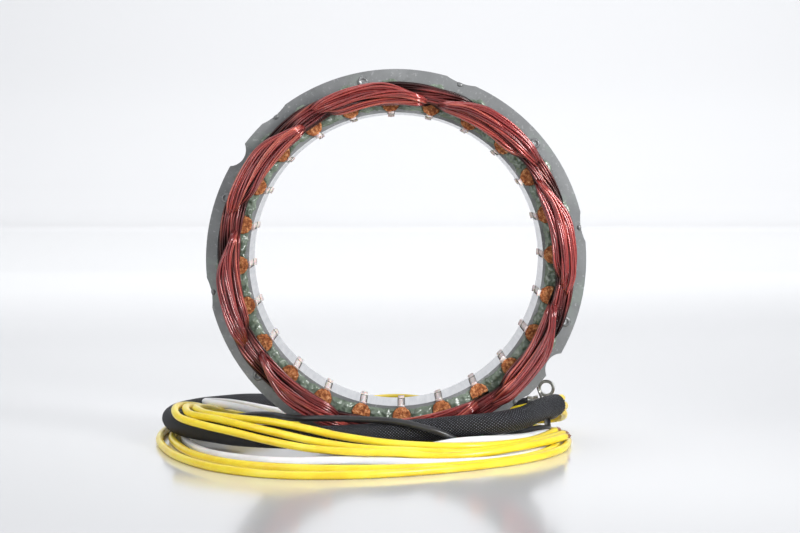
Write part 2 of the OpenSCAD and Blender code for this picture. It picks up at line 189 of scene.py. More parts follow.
# --------------------------------------------------------------- materials
class Material:
    """A node material built up from small calls."""

    def __init__(self, name, **inputs):
        self.mat = bpy.data.materials.new(name)
        self.mat.use_nodes = True
        self.tree = self.mat.node_tree
        self.tree.nodes.clear()
        self.out = self.add("ShaderNodeOutputMaterial")
        self.bsdf = self.add("ShaderNodeBsdfPrincipled")
        self.link(self.bsdf.outputs[0], self.out.inputs[0])
        self.place = self.add("ShaderNodeTexCoord").outputs["Object"]
        for key, value in inputs.items():
            self.set(key.replace("_", " "), value)

    def add(self, kind, **props):
        node = self.tree.nodes.new(kind)
        for key, value in props.items():
            setattr(node, key, value)
        return node

    def link(self, a, b):
        self.tree.links.new(a, b)

    def set(self, name, value):
        socket = self.bsdf.inputs[name]
        if isinstance(value, bpy.types.NodeSocket):
            self.link(value, socket)
        else:
            socket.default_value = value

    def noise(self, scale, detail=4.0, rough=0.55, stretch=None):
        node = self.add("ShaderNodeTexNoise")
        node.inputs["Scale"].default_value = scale
        node.inputs["Detail"].default_value = detail
        node.inputs["Roughness"].default_value = rough
        place = self.place
        if stretch:
            shift = self.add("ShaderNodeMapping")
            shift.inputs["Scale"].default_value = stretch
            self.link(place, shift.inputs[0])
            place = shift.outputs[0]
        self.link(place, node.inputs["Vector"])
        return node.outputs["Fac"]

    def ramp(self, fac, stops):
        node = self.add("ShaderNodeValToRGB")
        spots = node.color_ramp.elements
        while len(spots) < len(stops):
            spots.new(0.5)
        for spot, (at, colour) in zip(spots, stops):
            spot.position = at
            if isinstance(colour, (int, float)):
                colour = (colour, colour, colour)
            spot.color = (*colour, 1.0)
        self.link(fac, node.inputs[0])
        return node.outputs[0]

    def span(self, fac, low, high):
        """From low to high over the middle of a noise's range."""
        return self.ramp(fac, [(0.3, low), (0.7, high)])

    def mask(self, fac, start, stop):
        return self.ramp(fac, [(start, 0.0), (stop, 1.0)])

    def mix(self, fac, a, b, mode="MIX"):
        node = self.add("ShaderNodeMix", data_type="RGBA", blend_type=mode)
        for socket, value in ((node.inputs[0], fac), (node.inputs[6], a),
                              (node.inputs[7], b)):
            if isinstance(value, bpy.types.NodeSocket):
                self.link(value, socket)
            elif isinstance(value, (int, float)):
                socket.default_value = value
            else:
                socket.default_value = (*value, 1.0)
        return node.outputs[2]

    def cover(self, mask, amount, under, over):
        """One colour laid over another where the mask is 1, amount deep."""
        return self.mix(self.math("MULTIPLY", mask, amount), under, over)

    def math(self, kind, a, b=0.0, clamp=False):
        node = self.add("ShaderNodeMath", operation=kind, use_clamp=clamp)
        for socket, value in zip(node.inputs, (a, b)):
            if isinstance(value, bpy.types.NodeSocket):
                self.link(value, socket)
            else:
                socket.default_value = value
        return node.outputs[0]

    def axis(self, index):
        node = self.add("ShaderNodeSeparateXYZ")
        self.link(self.place, node.inputs[0])
        return node.outputs[index]

    def ring_radius(self):
        """Distance from the ring's axis, in metres."""
        x = self.axis(0)
        z = self.math("SUBTRACT", self.axis(2), RING_Z)
        return self.math("SQRT", self.math("ADD", self.math("MULTIPLY", x, x),
                                           self.math("MULTIPLY", z, z)))

    def island(self):
        return self.add("ShaderNodeNewGeometry").outputs["Random Per Island"]

    def bump(self, height, strength, distance):
        node = self.add("ShaderNodeBump")
        node.inputs["Strength"].default_value = strength
        node.inputs["Distance"].default_value = distance
        self.link(height, node.inputs["Height"])
        if self.bsdf.inputs["Normal"].is_linked:
            self.link(self.bsdf.inputs["Normal"].links[0].from_socket,
                      node.inputs["Normal"])
        self.link(node.outputs[0], self.bsdf.inputs["Normal"])


def grained(name, grain, colours, finish, bump, **inputs):
    """A material whose colour, finish and bump all follow one noise."""
    m = Material(name, **inputs)
    n = m.noise(*grain)
    m.set("Base Color", m.ramp(n, colours))
    m.set("Roughness", m.span(n, *finish))
    m.bump(n, *bump)
    return m.mat


GROUND_EDGE = 0.0541        # the ground surface ends at this radius, metres


def bore_finish(m, dull, dull_metal, dull_rough):
    """Ground, bright metal inside the bore and the duller finish elsewhere."""
    bore = m.math("LESS_THAN", m.ring_radius(), GROUND_EDGE)
    streak = m.noise(700, 3, 0.6, (1, 0.06, 1))
    bright = m.span(streak, (0.60, 0.61, 0.63), (0.80, 0.80, 0.81))
    sheet = m.noise(1.0, 0, 0.5, (0.001, 1000, 0.001))
    bright = m.cover(sheet, 0.35, bright, (0.46, 0.47, 0.49))
    m.set("Base Color", m.mix(bore, dull, bright))
    m.set("Metallic", m.mix(bore, (dull_metal,) * 3, (1.0,) * 3))
    m.set("Roughness", m.mix(bore, dull_rough, (0.30,) * 3))
    m.bump(streak, 0.08, 0.00003)


def steel_face():
    """End sheets: mottled grey with stains, a film of green and bright specks."""
    m = Material("steel_face", Specular_IOR_Level=0.5)
    broad = m.noise(38, 5, 0.6)
    fine = m.noise(900, 3, 0.6)
    grey = m.ramp(broad, [(0.3, (0.150, 0.155, 0.158)),
                          (0.55, (0.215, 0.222, 0.225)),
                          (0.75, (0.29, 0.298, 0.30))])
    stain = m.mask(m.noise(95, 6, 0.7), 0.56, 0.68)
    grey = m.cover(stain, 0.5, grey, (0.10, 0.10, 0.095))
    film = m.mask(m.noise(60, 5, 0.65), 0.55, 0.66)
    grey = m.cover(film, 0.4, grey, (0.25, 0.31, 0.265))
    grey = m.cover(m.mask(fine, 0.60, 0.70), 0.4, grey, (0.46, 0.47, 0.47))
    m.bump(fine, 0.4, 0.0001)
    m.bump(m.noise(260, 4, 0.6), 0.4, 0.00016)
    bore_finish(m, grey, 0.4, m.span(broad, 0.52, 0.36))
    return m.mat


def steel_stack():
    """Sheet edges: dull round the outside, ground bright in the bore."""
    m = Material("steel_stack", Specular_IOR_Level=0.5)
    dull = m.span(m.noise(55, 5, 0.6), (0.13, 0.134, 0.136), (0.22, 0.225, 0.227))
    rust = m.mask(m.noise(120, 6, 0.7), 0.62, 0.72)
    dull = m.cover(rust, 0.5, dull, (0.12, 0.075, 0.05))
    bore_finish(m, dull, 0.35, m.ramp(rust, [(0.0, 0.5), (1.0, 0.65)]))
    return m.mat


def rivet_steel():
    return grained("rivet_steel", (420, 5, 0.65),
                   [(0.3, (0.14, 0.143, 0.145)), (0.7, (0.34, 0.345, 0.35))],
                   (0.5, 0.3), (0.4, 0.0002), Metallic=0.45)


def weld_steel():
    return grained("weld_steel", (500, 6, 0.7),
                   [(0.3, (0.15, 0.153, 0.155)), (0.6, (0.23, 0.235, 0.236)),
                    (0.8, (0.24, 0.21, 0.18))],
                   (0.35, 0.6), (0.5, 0.0002), Metallic=0.4)


PAINTED_SHADE_DEPTH = 0.0168         # wires nearer than this to the middle get the darkest painted shade


def copper_enamel():
    """Red enamel: each wire has its own tone, and the wires that lie deep
    between the ropes, close to the steel, get painted shade: darker colour, less coat."""
    m = Material("copper_enamel", Metallic=0.35, Coat_Roughness=0.07, Coat_IOR=1.55)
    strand = m.island()
    long = m.noise(160, 4, 0.6)
    red = m.ramp(strand, [(0.0, (0.15, 0.010, 0.012)), (0.45, (0.29, 0.022, 0.022)),
                          (0.8, (0.41, 0.045, 0.036)), (1.0, (0.52, 0.10, 0.065))])
    worn = m.mask(m.noise(520, 5, 0.65), 0.60, 0.72)
    red = m.cover(worn, 0.35, red, (0.50, 0.15, 0.09))
    red = m.mix(1.0, red, m.span(long, 0.6, 1.0), "MULTIPLY")
    # painted shade: colour and coat are darkened the deeper a wire lies, by its
    # distance from the middle plane
    height = m.math("SUBTRACT", m.math("ABSOLUTE", m.axis(1)), PAINTED_SHADE_DEPTH)
    shade = m.ramp(m.math("MULTIPLY", height, 250.0, clamp=True),
                   [(0.0, 0.02), (0.35, 0.14), (0.75, 0.85), (0.95, 1.0)])
    m.set("Base Color", m.mix(1.0, red, shade, "MULTIPLY"))
    m.set("Coat Weight", shade)
    m.set("Roughness", m.span(long, 0.36, 0.24))
    m.bump(m.noise(1500, 2, 0.5), 0.12, 0.00005)
    return m.mat


def green_epoxy():
    m = Material("green_epoxy", Coat_Weight=0.45, Coat_Roughness=0.18,
                 Subsurface_Weight=0.06, Subsurface_Scale=0.002)
    m.bsdf.inputs["Subsurface Radius"].default_value = (0.5, 0.8, 0.5)
    broad = m.noise(210, 5, 0.6)
    green = m.ramp(broad, [(0.25, (0.050, 0.066, 0.046)),
                           (0.45, (0.118, 0.152, 0.112)),
                           (0.62, (0.19, 0.235, 0.182)),
                           (0.8, (0.33, 0.385, 0.315))])
    dust = m.mask(m.noise(1300, 4, 0.7), 0.6, 0.75)
    m.set("Base Color", m.cover(dust, 0.3, green, (0.5, 0.56, 0.48)))
    m.set("Roughness", m.span(broad, 0.24, 0.42))
    m.bump(m.noise(800, 3, 0.5), 0.35, 0.0002)
    return m.mat


def wedge_fibre():
    m = Material("wedge_fibre", Specular_IOR_Level=0.35)
    grain = m.noise(950, 6, 0.75)
    broad = m.noise(300, 4, 0.6)
    brown = m.ramp(grain, [(0.34, (0.025, 0.007, 0.004)), (0.46, (0.24, 0.072, 0.022)),
                           (0.56, (0.55, 0.21, 0.07)), (0.66, (0.88, 0.55, 0.28))])
    m.set("Base Color", m.cover(broad, 0.4, brown, (0.42, 0.10, 0.03)))
    m.set("Roughness", m.span(grain, 0.85, 0.6))
    m.bump(grain, 0.8, 0.0004)
    return m.mat


def slip_paper():
    m = Material("slip_paper", Roughness=0.55, Subsurface_Weight=0.15,
                 Subsurface_Scale=0.001)
    m.set("Base Color", m.span(m.noise(700, 5, 0.6), (0.70, 0.56, 0.53),
                               (0.88, 0.78, 0.76)))
    m.bump(m.noise(2200, 3, 0.6), 0.3, 0.0001)
    return m.mat


def braid_cloth():
    """Black polyester braid: carriers crossing over and under each other, with a
    painted sheen on their crowns.
    """
    m = Material("braid_cloth", Specular_IOR_Level=0.32)
    node = m.add("ShaderNodeUVMap", uv_map="weave")
    split = m.add("ShaderNodeSeparateXYZ")
    m.link(node.outputs[0], split.inputs[0])
    x, y = split.outputs[0], split.outputs[1]

    def wave(value, turns):
        return m.math("SINE", m.math("MULTIPLY", value, math.pi * turns))

    one = m.math("ABSOLUTE", wave(m.math("ADD", x, y), 1))
    two = m.math("ABSOLUTE", wave(m.math("SUBTRACT", x, y), 1))
    over = m.math("GREATER_THAN", m.math("MULTIPLY", wave(x, 2), wave(y, 2)), 0.0)
    rib = m.math("POWER", m.mix(over, one, two), 0.8)
    # painted sheen: the base colour is lighter on the carriers' crowns, broken up by
    # noise
    painted_sheen_breakup = m.noise(2600, 3, 0.7)
    painted_sheen = m.math("MULTIPLY", m.mask(rib, 0.80, 0.98),
                   m.ramp(painted_sheen_breakup, [(0.38, 0.25), (0.56, 1.0)]))
    tone = m.mix(painted_sheen, (0.0028, 0.0028, 0.0042), (0.20, 0.21, 0.245))
    m.set("Base Color", tone)
    m.set("Roughness", m.ramp(painted_sheen, [(0.0, 0.62), (1.0, 0.36)]))
    m.bump(rib, 0.8, 0.00020)
    return m.mat


def cable_skin(name, deep, mid, pale, rough=0.28, soft=0.1, coat=0.35):
    """Plastic insulation with a faint unevenness."""
    m = Material(name, Subsurface_Weight=soft, Subsurface_Scale=0.002,
                 Coat_Weight=coat, Coat_Roughness=0.15)
    broad = m.noise(70, 4, 0.6)
    m.set("Base Color", m.ramp(broad, [(0.3, deep), (0.52, mid), (0.75, pale)]))
    m.set("Roughness", m.span(m.noise(260, 4, 0.6), rough, rough + 0.12))
    m.bump(m.noise(1100, 3, 0.5), 0.15, 0.00006)
    m.bump(broad, 0.15, 0.0003)
    return m.mat


def bright_metal(name, low, high, rough):
    return grained(name, (650, 5, 0.65), [(0.3, low), (0.7, high)],
                   (rough + 0.12, rough), (0.25, 0.0001), Metallic=1.0)


def floor_gloss():
    """Pale gloss, duller towards the back, its colour darker towards the front as
    painted shade.
    """
    m = Material("floor_gloss", Coat_Weight=0.5, Coat_Roughness=0.1)
    n = m.noise(0.8, 2, 0.4)
    away = m.mask(m.axis(1), 0.15, 0.9)
    pale = m.span(n, (0.85, 0.855, 0.865), (0.86, 0.865, 0.875))
    # painted shade: the floor's colour is darker towards the front
    m.set("Base Color", m.mix(away, (0.80, 0.805, 0.815), pale))
    m.set("Roughness", m.mix(away, m.span(n, 0.11, 0.14), (0.22,) * 3))
    return m.mat


YELLOW = cable_skin("yellow_pvc", (0.86, 0.60, 0.012), (0.95, 0.74, 0.03),
                    (0.98, 0.83, 0.08))
WHITE = cable_skin("white_pvc", (0.74, 0.74, 0.74), (0.84, 0.84, 0.85),
                   (0.9, 0.9, 0.91))
BLACK = cable_skin("black_pvc", (0.010, 0.010, 0.012), (0.018, 0.018, 0.020),
                   (0.035, 0.035, 0.038), 0.35, 0.0, 0.2)
BRAID = braid_cloth()
COPPER = bright_metal("bare_copper", (0.55, 0.20, 0.10), (0.85, 0.42, 0.26), 0.28)
TIN = bright_metal("tin_plate", (0.30, 0.30, 0.28), (0.58, 0.58, 0.55), 0.26)

# ------------------------------------------------------------------ camera
CAMERA_AT = (0.00143, -0.713, 0.103)
CAMERA_DIP = 2.9            # degrees below level

eye = bpy.data.cameras.new("camera")
eye.sensor_width = 36.0
eye.lens = 85.68
eye.clip_start = 0.01
camera = new_object("camera", eye)
camera.location = CAMERA_AT
camera.rotation_euler = (math.radians(90 - CAMERA_DIP), 0, 0)
scene.camera = camera

# ------------------------------------------------------------------- cords
SLEEVE_D = 8.4
LEAD_D = 2.8
THIN_D = 2.4
CORD_SIDES = 14

# Routes are in mm, and the same as in the part's source.
sleeve_route = [
    [46, 28.8, 28.7], [40.5, 30.5, 22.5], [34, 35, 16.5], [27, 41, 11],
    [18, 48, 7], [7, 54.5, 5], [-6, 60, 4.4], [-20, 64, 4.8],
    [-34, 66.5, 5.8], [-48, 67, 6.8], [-61, 64, 7.3], [-72, 57.5, 7.3],
    [-80.5, 47.5, 7.3], [-85.5, 35, 7.3], [-86.5, 21, 7.3], [-83.5, 7, 7.3],
    [-77.5, -5, 7.2], [-69.5, -15.5, 7.2], [-59.5, -24, 7.1],
    [-48, -29.5, 7], [-36, -32, 7], [-24, -32.3, 7.1], [-12, -31.5, 7.6],
    [0, -30.4, 8.6], [12, -29.6, 9.5], [21, -29.6, 10.3], [30, -29.6, 11],
    [37, -27.9, 11.6], [42.8, -23.3, 12], [47, -16.5, 12.2],
    [50.2, -8.5, 12.4], [54.4, 3.5, 12.6], [58.3, 12.4, 12.5],
    [61.4, 18.6, 12.4],
]
yellow_1_route = [
    [60.4, 14.4, 10.5], [62.4, 17.9, 10.5], [65.5, 27.4, 8],
    [64.6, 39.5, 4.6], [54, 52, 2], [36, 64, 1.4], [12, 73.5, 1.4],
    [-13, 78, 1.4], [-39, 79, 1.4], [-64, 73, 1.4], [-82, 57.5, 1.4],
    [-89.5, 34, 1.4], [-90, 8, 1.4], [-85.5, -17, 1.4], [-76.5, -43, 1.4],
    [-61, -67, 1.4], [-39, -81.5, 1.4], [-14, -82, 1.4], [8, -74.5, 1.4],
    [29, -62, 1.4], [47, -46, 1.4], [59.5, -25, 1.4], [64.5, -2, 1.4],
    [63, 19, 1.4], [54.5, 35.5, 1.4], [38, 44.5, 1.4], [14, 46.8, 1.4],
    [-12, 48.8, 1.4], [-36, 47.5, 2], [-54, 40, 4.8], [-68, 29.5, 8.2],
    [-74.2, 17, 11.4], [-79.2, 6, 13.2], [-78.4, -4.6, 13.1],
    [-75, -13, 12.6], [-65.5, -22, 12.3], [-55, -31, 11.3], [-43, -37, 9.4],
    [-29, -42, 7], [-13, -46, 5.2], [5, -47.5, 4.4], [22, -46, 3.6],
    [37, -39, 3.9], [51.2, -24.1, 4.4], [58, -12.6, 4.4], [62.5, -4, 4.4],
]
yellow_2_route = [
    [61.4, 14.1, 13.1], [63.4, 17.5, 13.1], [65.8, 27.2, 11],
    [64.9, 40, 8], [56, 53, 5], [39, 62, 4.5], [25, 66, 3.5],
    [10, 70.3, 1.4], [-12, 74.5, 1.4], [-38, 75.5, 1.4], [-61, 70, 1.4],
    [-77, 55, 1.4], [-84.5, 34, 1.4], [-85.5, 10, 1.4], [-80.5, -14, 1.4],
    [-71, -38, 1.4], [-55, -57.5, 1.4], [-33, -67, 1.4], [-9, -68.5, 1.4],
    [14, -64.5, 1.4], [34, -54, 1.4], [49, -38.5, 1.4], [58, -18.5, 1.4],
    [60, 0, 1.4], [57.5, 18, 1.4], [49.5, 32, 1.4], [34.5, 40, 1.4],
    [12, 42.8, 1.4], [-12, 44.8, 1.4], [-34, 44.5, 1.8], [-51, 38, 4.6],
    [-65, 26, 8.2], [-71.4, 14.2, 11.6], [-75.6, 3.6, 13.2],
    [-73, -6.4, 13.2], [-68, -15, 13.1], [-57, -24.5, 12.9],
    [-45, -31.8, 12.6], [-33, -36.6, 11], [-20, -40, 8.6], [-4, -42.8, 6.6],
    [12, -43.2, 5.5], [27, -40.6, 5], [38, -33.9, 4.7], [48.4, -22.6, 4.4],
    [55.4, -10.8, 4.7], [59.6, -3.4, 5.4],
]
yellow_3_route = [
    [59.4, 15.1, 14.8], [61.4, 18.6, 14.8], [64.6, 27, 14.1],
    [63.8, 38, 11.4], [57.5, 48, 9], [43.5, 54.5, 7.6], [28, 58.6, 7.8],
    [14, 60.6, 9.2], [1, 60.2, 10.4], [-12, 58.2, 9.6], [-27, 54.5, 6],
    [-43, 50, 4.6], [-57, 43, 5.6], [-70, 33, 8], [-77.2, 20, 11.8],
    [-82.4, 10.2, 13.2], [-83.2, -1, 12.9], [-79.7, -12.5, 11.4],
    [-70, -23.5, 10.2], [-58, -32.5, 8.8], [-45, -40, 6.8], [-31, -45.5, 5],
    [-16, -49.5, 4.4], [0, -51.2, 4.1], [16, -51.3, 2.9], [31, -47, 3.5],
    [44, -37.8, 4.3], [54.3, -25.5, 4.4], [62.6, -11.6, 4.4],
]
white_route = [
    [57.4, 16.2, 13.2], [59.4, 19.7, 13.1], [62.4, 28, 11.3], [61.5, 38, 8],
    [51, 48, 3.6], [36, 56, 1.4], [12, 66.5, 1.4], [-12, 71, 1.4],
    [-37, 72, 1.4], [-58, 66.5, 1.4], [-73, 51, 1.4], [-80.5, 31, 1.4],
    [-81, 10, 1.4], [-76, -12, 1.4], [-66.5, -33, 1.4], [-50, -48, 1.4],
    [-36, -52, 1.4], [-25, -50, 1.4], [-14, -49.5, 1.4], [-3, -52, 1.4],
    [9, -55, 1.4], [23, -54, 1.4], [37, -47.5, 1.4], [47.5, -35, 1.4],
    [54.5, -17, 1.4], [56.5, 0, 1.4], [53.5, 16, 1.4], [45, 29, 1.4],
    [31, 35.5, 1.4], [12, 38.5, 1.4], [-8, 40.3, 1.4], [-22, 40.8, 2.2],
    [-34, 41.3, 4.4], [-46, 42.2, 6.8], [-57, 42.8, 8.9], [-66, 42, 10.5],
    [-72.8, 39, 11.3], [-75.2, 33, 11.9], [-71.5, 27, 12.1],
    [-63.5, 21, 11.7], [-54, 11.5, 11], [-46, -0.5, 10.2], [-39, -12, 7.4],
    [-30, -22.5, 3.6], [-17, -31.5, 1.5], [-3, -36, 2.4], [10, -37.8, 4.2],
    [22, -37.4, 6.2], [33, -33.2, 6.4], [45.8, -21, 5.4], [52.6, -9.4, 4.9],
    [56.8, -2, 4.5],
]
black_long_route = [
    [58.2, 15.8, 10.5], [60.2, 19.3, 10.5], [62.4, 27, 7.8],
    [58.5, 35.5, 5.2], [47.5, 40.5, 4.4], [30, 41.2, 4.3], [20, 41.2, 4.3],
    [8, 43, 4.3], [-8, 46, 4.3], [-22, 51, 3.4], [-36, 53.8, 1.6],
    [-50, 55.5, 1.6], [-62, 54, 2.6], [-71, 49.5, 4.2], [-75, 42, 4.4],
    [-73.5, 33.5, 4.5], [-68.5, 25, 5.6], [-61, 15.5, 8.2], [-53, 4, 10.6],
    [-45.5, -8, 11.9], [-41.5, -15.5, 12.2], [-38, -21.6, 12.6],
    [-33.4, -26.4, 13], [-24, -29.4, 13.5], [-13, -31.5, 13.4],
    [0, -34, 13], [10, -36, 11], [16.5, -35.6, 8.9], [23, -33, 5.6],
    [29, -29.3, 4.4], [35, -24.2, 4.5], [41, -16.5, 5.2], [48, -6, 5.8],
    [54, 2.2, 5.6], [57.5, 9.5, 4.6], [58.4, 16, 4.4], [58.6, 21.3, 5],
    [58.8, 25, 7.2], [58.8, 26.8, 10],
]
black_short_route = [
    [24.5, 24.5, 13.4], [25.4, 27.6, 12.6], [29, 29.4, 11], [35, 29.6, 10],
    [41, 28.8, 10.4], [46.5, 27.2, 12.2], [51, 25.4, 13.4],
]


def path_of(route, per=6):
    """A route's smooth centreline in metres, never below its lowest point."""
    route = np.array(route) * MM
    return curve(route, per, route[:, 2].min())


def copper_tip(name, path, strands=7):
    """Stripped end: strands laid in a short loose twist, some cut shorter."""
    length, hidden, strand_r, steps = 0.004, 0.0008, 0.00028, 9
    batch = Batch()
    way = unit(path[-1] - path[-2])
    spine = np.array([path[-1] + way * (s - hidden)
                      for s in np.linspace(0, length, steps)])
    side, up = frames(spine)
    for k in range(strands):
        lay = 0.0 if k == 0 else 0.00052
        turn = np.linspace(0, 2.2, steps) + k * 2 * math.pi / (strands - 1)
        fan = 1 + 0.5 * np.linspace(0, 1, steps) ** 2
        line = (spine + side * (lay * fan * np.cos(turn))[:, None]
                + up * (lay * fan * np.sin(turn))[:, None])
        line = line[:steps - (k % 3 == 2)]
        batch.add(*tube(line, strand_r, 8))
    tip = batch.piece(name, COPPER, slot="bare_copper")
    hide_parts(name)
    return tip


def lead(name, route, diameter, mat, slot):
    """One insulated lead, a little uneven along its length."""
    path = path_of(route)
    r = diameter * MM / 2
    dents = np.array([[1 + 0.018 * wobble(i * 0.21, k * 0.7, r * 9e3)
                       for k in range(CORD_SIDES)] for i in range(len(path))])
    verts, faces = tube(path, r, CORD_SIDES, True, dents)
    obj = make_piece(name + "_skin", verts, faces, mat, slot)
    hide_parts(name)


WEAVE_AROUND = 24           # carriers counted round the sleeve
WEAVE_PITCH = 1.15 * MM     # length of one crossing along it


def braided(name, path, radius):
    """Hollow woven sleeve. The weave's relief is in the mesh, and a map named
    "weave" tells the material where each carrier runs."""
    step = 0.0005
    wall = 0.0006
    total = length_of(path)
    steps = np.linalg.norm(np.diff(path, axis=0), axis=1)
    gone = np.concatenate([[0], np.cumsum(steps)])
    at = np.linspace(0, total, int(total / step))
    spine = np.stack([np.interp(at, gone, path[:, i]) for i in range(3)], axis=1)
    spine[1:-1] = (spine[:-2] + 2 * spine[1:-1] + spine[2:]) / 4
    sides = 2 * WEAVE_AROUND
    angle = np.arange(sides) * 2 * math.pi / sides
    slow = np.array([[wobble(s * 70, math.cos(a) * 0.8, math.sin(a) * 0.8)
                      for a in angle] for s in at])
    diamond = np.cos(angle[None, :] * WEAVE_AROUND / 2) * np.cos(
        math.pi * at[:, None] / WEAVE_PITCH)
    size = 0.985 + 0.006 * diamond + 0.035 * slow
    near = np.minimum(at, total - at)
    size *= (1 + 0.02 * np.exp(-near / 0.002))[:, None]
    verts, faces = tube(spine, radius, sides, False, size)
    batch = Batch()
    batch.add(verts, faces)
    # Each end turns in over the cut edge and runs back inside the wall.
    turned_in = ((0.0, 0.3), (0.0003, 0.8), (0.0015, 1.0), (0.004, 1.0), (0.008, 1.0))
    for end, inward, base in ((0, 1, 0), (-1, -2, (len(at) - 1) * sides)):
        rim = verts.reshape(len(at), sides, 3)[end]
        heading = unit(spine[inward] - spine[end])
        rows = np.array([rim + unit(spine[end] - rim) * wall * inset + heading * depth
                         for depth, inset in turned_in])
        start = batch.count
        batch.add(rows.reshape(-1, 3), [])
        loops = []
        for k in range(sides):
            n = (k + 1) % sides
            loops.append((base + k, base + n, start + n, start + k))
            for i in range(len(rows) - 1):
                a = start + i * sides
                loops.append((a + k, a + n, a + sides + n, a + sides + k))
        loops.append(tuple(start + (len(rows) - 1) * sides + k for k in range(sides)))
        batch.faces += [loop if end else loop[::-1] for loop in loops]
    obj = batch.piece(name + "_cloth", BRAID, slot="black_braid")
    layer = obj.data.uv_layers.new(name="weave")
    spots = np.zeros((len(obj.data.loops), 2), np.float32)
    quads = (len(at) - 1) * sides
    row = np.repeat(np.arange(len(at) - 1), sides)
    col = np.tile(np.arange(sides), len(at) - 1)
    for corner, (dr, dc) in enumerate(((0, 0), (0, 1), (1, 1), (1, 0))):
        spots[corner:quads * 4:4, 0] = (col + dc) / sides * WEAVE_AROUND
        spots[corner:quads * 4:4, 1] = (row + dr) * step / WEAVE_PITCH
    layer.data.foreach_set("uv", spots.ravel())
    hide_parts(name)
    return obj


def frayed_rim(name, path, radius, count=26):
    """Cut filaments standing out round the sleeve's open mouth."""
    batch = Batch()
    middle = path[-1]
    way = unit(path[-1] - path[-3])
    side = unit(np.cross(way, [0, 0, 1.0]))
    up = np.cross(side, way)
    for k in range(count):
        a = 2 * math.pi * (k + rng.uniform(-0.3, 0.3)) / count
        out = side * math.cos(a) + up * math.sin(a)
        turn = side * -math.sin(a) + up * math.cos(a)
        lean = rng.uniform(-0.5, 0.5)
        reach = rng.uniform(0.0004, 0.0012)
        root = middle + out * radius * 0.93 - way * 0.001
        line = [root, root + way * 0.001 + out * 0.0001,
                root + way * (0.001 + reach) + turn * lean * reach + out * 0.0001]
        batch.add(*tube(curve(line, 3), 0.00013, 5))
    return batch.piece(name, BRAID, slot="black_braid")


sleeve_path = path_of(sleeve_route, 8)
sleeve = braided("braided_sleeve", sleeve_path, SLEEVE_D * MM / 2)
fray = frayed_rim("sleeve_frayed_rim", sleeve_path, SLEEVE_D * MM / 2)

stripped = [(f"yellow_lead_{n}", f"yellow_{n}_bare_end", route, YELLOW, "yellow_pvc")
            for n, route in enumerate(
                (yellow_1_route, yellow_2_route, yellow_3_route), start=1)]
stripped.append(("white_lead", "white_bare_end", white_route, WHITE, "white_pvc"))
tips = [copper_tip(tip, path_of(route)) for _, tip, route, _, _ in stripped]
for (name, _, route, mat, slot), tip in zip(stripped, tips):
    lead(name, route, LEAD_D, mat, slot)


# --------------------------------------------------------------- terminals
EYE_OUTER, EYE_R, PLATE_T = 3.4, 2.15, 0.8
BARREL_L, BARREL_R, BARREL_WALL = 4.2, 1.7, 0.32


def eye_plate(centre, normal, up_way):
    """A stamped eye with softly rounded edges, as points and faces."""
    normal = unit(np.array(normal, float))
    up_way = np.array(up_way, float)
    up_way = unit(up_way - normal * np.dot(up_way, normal))
    side = np.cross(up_way, normal)
    edge = 0.16
    half = PLATE_T / 2
    profile = [(EYE_OUTER - edge, -half), (EYE_OUTER, -half + edge),
               (EYE_OUTER, half - edge), (EYE_OUTER - edge, half),
               (EYE_R + edge, half), (EYE_R, half - edge),
               (EYE_R, -half + edge), (EYE_R + edge, -half)]
    turns = 56
    verts = []
    for i in range(turns):
        a = 2 * math.pi * i / turns
        ray = side * math.cos(a) + up_way * math.sin(a)
        for r, h in profile:
            verts.append(np.array(centre) + (ray * r + normal * h) * MM)
    return verts, grid_faces(turns, len(profile), looped=True)


def barrel(foot, way, turn_up):
    """Rolled barrel, crimped in its middle, with its seam showing."""
    foot = np.array(foot, float)
    way = unit(np.array(way, float))
    side = unit(np.cross(way, turn_up))
    up = np.cross(side, way)
    rows, cols = 15, 40
    verts = []
    for offset in (0.0, BARREL_WALL):
        for i in range(rows):
            s = i / (rows - 1)
            pinch = 0.30 * math.exp(-((s - 0.5) / 0.17) ** 2)
            flare = 0.10 * math.exp(-s / 0.06)
            for k in range(cols):
                a = 2 * math.pi * k / cols
                seam = 0.16 * math.exp(-((a - math.pi / 2) / 0.12) ** 2)
                squash = (1 - pinch * max(0.0, math.sin(a)) ** 2
                          + pinch * 0.35 * math.cos(a) ** 2)
                r = (BARREL_R + flare) * squash - seam - offset
                around = side * math.cos(a) + up * math.sin(a)
                verts.append(foot + (way * s * BARREL_L + around * r) * MM)
    outer = grid_faces(rows, cols)
    faces = outer + [tuple(rows * cols + i for i in f[::-1]) for f in outer]
    for row in (0, rows - 1):
        for k in range(cols):
            n = (k + 1) % cols
            a, b = row * cols, rows * cols + row * cols
            quad = (a + k, b + k, b + n, a + n)
            faces.append(quad if row == 0 else quad[::-1])
    return verts, faces


def neck(start, end, width, thick, across):
    """The flat strip between barrel and eye, bent along a smooth line."""
    line = curve([start, (start + end) / 2, end], 4)
    across = np.array(across, float)
    verts = []
    t = tangents(line)
    for i, p in enumerate(line):
        side = unit(across - t[i] * np.dot(across, t[i]))
        out = np.cross(t[i], side)
        for a, b in ((-1, -1), (1, -1), (1, 1), (-1, 1)):
            verts.append(p + side * a * width / 2 * MM + out * b * thick / 2 * MM)
    return verts, capped_faces(len(line), 4)


